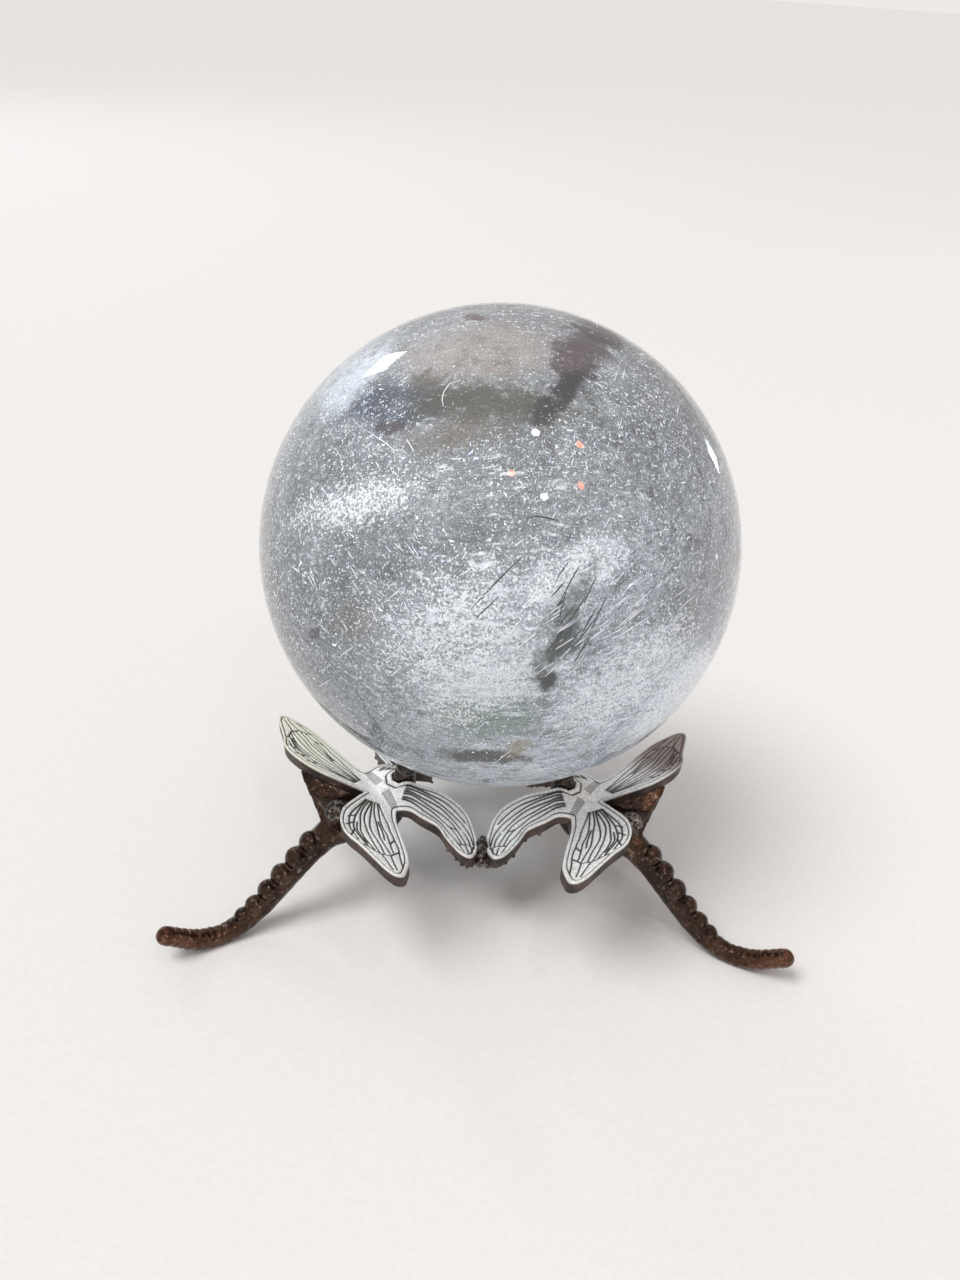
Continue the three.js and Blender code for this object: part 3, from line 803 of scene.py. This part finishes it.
def veils():
    """Thousands of flat healed cracks between the heart and the polish."""
    draw = np.random.default_rng(11)
    bm = bmesh.new()
    bmesh.ops.create_cone(bm, cap_ends=True, segments=3, radius1=1, radius2=0.35, depth=0.4)
    bmesh.ops.triangulate(bm, faces=bm.faces)
    flake = np.array([v.co[:] for v in bm.verts])
    faces = np.array([[v.index for v in f.verts] for f in bm.faces])
    bm.free()
    count = 17000
    direction = draw.normal(size=(count * 2, 3))
    direction /= np.linalg.norm(direction, axis=1)[:, None]
    depth = draw.uniform(HEART_SHARE + 0.01, 0.985, count * 2)
    density = np.array([noise.fractal(Vector(d) * 2.4, 1.0, 2.0, 4) for d in direction])
    kept = density + draw.normal(0, 0.22, count * 2) > 0.05
    for place, half_sizes, turn, *_ in INCLUSIONS.values():
        away = direction - np.array(place)
        angle = math.radians(turn)
        along = away[:, 0] * math.cos(angle) - away[:, 2] * math.sin(angle)
        up = away[:, 0] * math.sin(angle) + away[:, 2] * math.cos(angle)
        local = np.stack([along, away[:, 1], up], axis=1) / np.array(half_sizes)
        kept &= (np.linalg.norm(local, axis=1) > 1.0) | (draw.uniform(size=count * 2) < 0.12)
    direction, depth = direction[kept][:count], depth[kept][:count]
    # Flakes run from 0.1 to 0.6 mm across and lie mostly along the growth planes.
    size = np.clip(draw.lognormal(math.log(0.11), 0.4, len(direction)), 0.06, 0.4) * MM
    points = []
    for at, (way, far, half) in enumerate(zip(direction, depth, size)):
        lie = Vector(draw.normal(size=3) + np.array([0.5, 0.8, -0.9]))
        turn = lie.to_track_quat("Z", "X").to_matrix()
        spin = Matrix.Rotation(draw.uniform(0, math.tau), 3, "Z")
        stretch = Matrix.Diagonal((draw.uniform(1, 2.6), draw.uniform(0.4, 1), 0.5))
        local = flake @ np.array((turn @ spin @ stretch).transposed()) * half
        centre = np.array(in_ball(way * far))
        points.append(local + centre)
    mesh = bpy.data.meshes.new("veils_of_healed_cracks")
    all_faces = (faces[None] + (np.arange(len(points)) * len(flake))[:, None, None]).reshape(-1, 3)
    mesh.from_pydata(np.vstack(points).tolist(), [], all_faces.tolist())
    mesh.update()
    return finished("veils_of_healed_cracks", mesh, veil_material(), smooth=False)


def threads(name, lines, half_width, material):
    """Thin threads inside the ball, through points given in the heart's frame."""
    curve = bpy.data.curves.new(name, "CURVE")
    curve.dimensions = "3D"
    curve.bevel_depth = half_width
    curve.bevel_resolution = 1
    curve.use_fill_caps = True
    for line in lines:
        spline = curve.splines.new("POLY")
        spline.points.add(len(line) - 1)
        for at, (point, place) in enumerate(zip(spline.points, line)):
            point.co = (*in_ball(place), 1)
            point.radius = 0.4 + 0.6 * math.sin(math.pi * (at + 0.3) / (len(line) - 0.4))
    holder = bpy.data.objects.new(name, curve)
    bpy.context.scene.collection.objects.link(holder)
    mesh = bpy.data.meshes.new_from_object(holder.evaluated_get(bpy.context.evaluated_depsgraph_get()))
    bpy.data.objects.remove(holder)
    return finished(name, mesh, material)


def on_front(across, up, depth):
    """The point at this depth, in ball radii, that the camera sees at (across, up) through the polish."""
    off = max(math.hypot(across, up), 1e-6)
    ray = math.atan(off / math.sqrt(CAMERA_DISTANCE ** 2 - 1))
    miss = min(CAMERA_DISTANCE * math.sin(ray), 0.999)
    bent = math.asin(miss) - math.asin(miss / 1.544) - ray
    turn = bent + math.asin(min(miss / (1.544 * depth), 1.0))
    side = depth * math.sin(turn) / off
    return (across * side, depth * math.cos(turn), up * side)


def scattered_lines(draw, count, middle, spread, heading, length, depth):
    """Nearly parallel short lines about a middle."""
    lines = []
    for _ in range(count):
        across, up = np.array(middle) + draw.normal(size=2) * spread
        angle = math.radians(heading + draw.normal() * 7)
        half = length * draw.uniform(0.4, 1.0) / 2
        steps = np.linspace(-half, half, 5)
        far = draw.uniform(*depth)
        line = [
            on_front(across + s * math.cos(angle), up + s * math.sin(angle) + 3 * s * s * draw.normal() * 0.1, far)
            for s in steps
        ]
        if all(np.linalg.norm(p) < 0.99 for p in line):
            lines.append(line)
    return lines


shell = sphere("polished_ball", ball_radius, 7, shell_material())
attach(shell, "ball")
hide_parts("crystal_ball")
heart = sphere("milky_heart", ball_radius * HEART_SHARE, 6, heart_material())
flakes = veils()
flash = flakes.data.materials[0]
draw = np.random.default_rng(5)
white_lines = [
    [on_front(a, u, 0.965) for a, u in (
        (-0.193, 0.695), (-0.239, 0.682), (-0.265, 0.649), (-0.274, 0.618), (-0.271, 0.590))],
    [on_front(a, u, 0.965) for a, u in ((-0.819, 0.536), (-0.869, 0.503), (-0.901, 0.466), (-0.934, 0.421))],
    [on_front(a, u, 0.965) for a, u in ((-0.593, 0.507), (-0.552, 0.478), (-0.507, 0.446), (-0.474, 0.413))],
]
white_lines += scattered_lines(draw, 110, (0.45, -0.5), (0.25, 0.2), 34, 0.14, (0.84, 0.97))
white_lines += scattered_lines(draw, 60, (-0.2, -0.35), (0.3, 0.25), 40, 0.08, (0.84, 0.97))
white_lines += scattered_lines(draw, 40, (-0.6, -0.1), (0.2, 0.3), 120, 0.06, (0.84, 0.97))
white_lines += scattered_lines(draw, 30, (0.5, 0.2), (0.2, 0.25), 70, 0.05, (0.84, 0.97))
white_threads = threads("white_growth_threads", white_lines, 0.06 * MM, flash)
dark_lines = [
    [on_front(a, u, 0.9) for a, u in ((-0.186, -0.242), (-0.080, -0.133), (0.023, -0.032))],
    [on_front(a, u, 0.9) for a, u in ((-0.167, -0.281), (-0.117, -0.236), (-0.068, -0.190))],
    [on_front(a, u, 0.9) for a, u in ((0.050, 0.125), (0.092, 0.138), (0.138, 0.129), (0.181, 0.118))],
]
dark_lines += scattered_lines(draw, 16, (0.24, -0.3), (0.05, 0.1), 52, 0.16, (0.84, 0.9))
dark_threads = threads("dark_mineral_threads", dark_lines, 0.1 * MM, dark_inclusion_material())
for inner in (heart, flakes, white_threads, dark_threads):
    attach(inner, "ball")

# ---------------------------------------------------------------- table, light and camera


def board_material():
    """Matt coated board: pale warm white with the faintest tooth."""
    material = new_material("matt_white_board")
    point = add(material, "TexCoord", {}, {}).outputs["Object"]
    inputs = {"Vector": point, "Scale": 1 / (1.2 * MM), "Detail": 2.0}
    tooth = add(material, "TexNoise", {}, inputs).outputs["Fac"]
    colour = coated(material, linear("#d2d2d2"), [(tooth, 0.3, 0.7, 1.0, "#d5d5d5")])
    shader = add(material, "BsdfPrincipled", {}, {"Base Color": colour, "Roughness": 0.9})
    return finish_surface(material, shader.outputs[0])


bm = bmesh.new()
bmesh.ops.create_grid(bm, x_segments=1, y_segments=1, size=30)
board_mesh = bpy.data.meshes.new("board")
bm.to_mesh(board_mesh)
bm.free()
board = finished("board", board_mesh, board_material())

world = bpy.data.worlds.new("studio")
world.use_nodes = True
background = world.node_tree.nodes["Background"]
background.inputs["Color"].default_value = linear("#f3ede9")
# The room lights the ball a little less than the bright sweep that stands behind it.
world_path = world.node_tree.nodes.new("ShaderNodeLightPath")
sweep = world.node_tree.nodes.new("ShaderNodeMapRange")
sweep.inputs["To Min"].default_value = 0.65
sweep.inputs["To Max"].default_value = 0.97
world.node_tree.links.new(world_path.outputs["Is Camera Ray"], sweep.inputs["Value"])
world.node_tree.links.new(sweep.outputs["Result"], background.inputs["Strength"])
bpy.context.scene.world = world
bpy.context.scene.view_settings.view_transform = "Standard"


def softbox(name, place, size, watts, colour):
    """Square lamp that faces the ball; its place is in ball radii from the ball's centre."""
    light = bpy.data.lights.new(name, "AREA")
    light.size = size * ball_radius
    light.energy = watts
    light.color = linear(colour)[:3]
    lamp = bpy.data.objects.new(name, light)
    lamp.location = ball_centre + Vector(place) * ball_radius
    lamp.rotation_euler = (-Vector(place)).to_track_quat("-Z", "Y").to_euler()
    bpy.context.scene.collection.objects.link(lamp)


softbox("edge_lamp", (15, 15, 0.5), 2, 0.1, "#e4eeff")
softbox("back_lamp", (-16, 24, 15), 5, 1.4, "#e8f1ff")

# Wide even key light from the upper left.
key = bpy.data.lights.new("key_sky", "SUN")
key.energy = 2.4
key.angle = math.radians(29)
key.color = linear("#fffdf9")[:3]
key_lamp = bpy.data.objects.new("key_sky", key)
key_lamp.rotation_euler = Vector((0.48, 0.26, -1)).to_track_quat("-Z", "Y").to_euler()
# Too wide to be mirrored as a disc in the polish.
key_lamp.visible_glossy = False
bpy.context.scene.collection.objects.link(key_lamp)

# Five small bulbs of a ceiling lamp, mirrored in the polish.
BULBS = [
    ((0.166, -0.195, 0.967), "#ffffff", 1.6), ((0.454, -0.184, 0.872), "#ff8844", 0.3),
    ((0.009, -0.515, 0.857), "#ff8440", 0.3), ((0.493, -0.456, 0.741), "#ff8844", 0.3),
    ((0.249, -0.622, 0.742), "#ffffff", 1.6),
]
for number, (direction, colour, watts) in enumerate(BULBS):
    light = bpy.data.lights.new(f"bulb_{number}", "POINT")
    light.shadow_soft_size = 0.6 * ball_radius
    light.energy = watts
    light.color = linear(colour)[:3]
    lamp = bpy.data.objects.new(f"bulb_{number}", light)
    lamp.location = ball_centre + Vector(direction) * 22 * ball_radius
    bpy.context.scene.collection.objects.link(lamp)

CAMERA_ELEVATION = math.radians(26.403)
CAMERA_AZIMUTH = math.radians(-93.542)
camera_data = bpy.data.cameras.new("camera")
camera_data.sensor_width = 36
camera_data.lens = 30.94
camera_data.clip_start = 0.005
camera = bpy.data.objects.new("camera", camera_data)
camera.location = ball_centre + CAMERA_DISTANCE * ball_radius * Vector((
    math.cos(CAMERA_ELEVATION) * math.cos(CAMERA_AZIMUTH),
    math.cos(CAMERA_ELEVATION) * math.sin(CAMERA_AZIMUTH),
    math.sin(CAMERA_ELEVATION),
))
camera.rotation_euler = (math.radians(58.737), math.radians(-3.570), math.radians(-0.633))
bpy.context.scene.collection.objects.link(camera)
bpy.context.scene.camera = camera
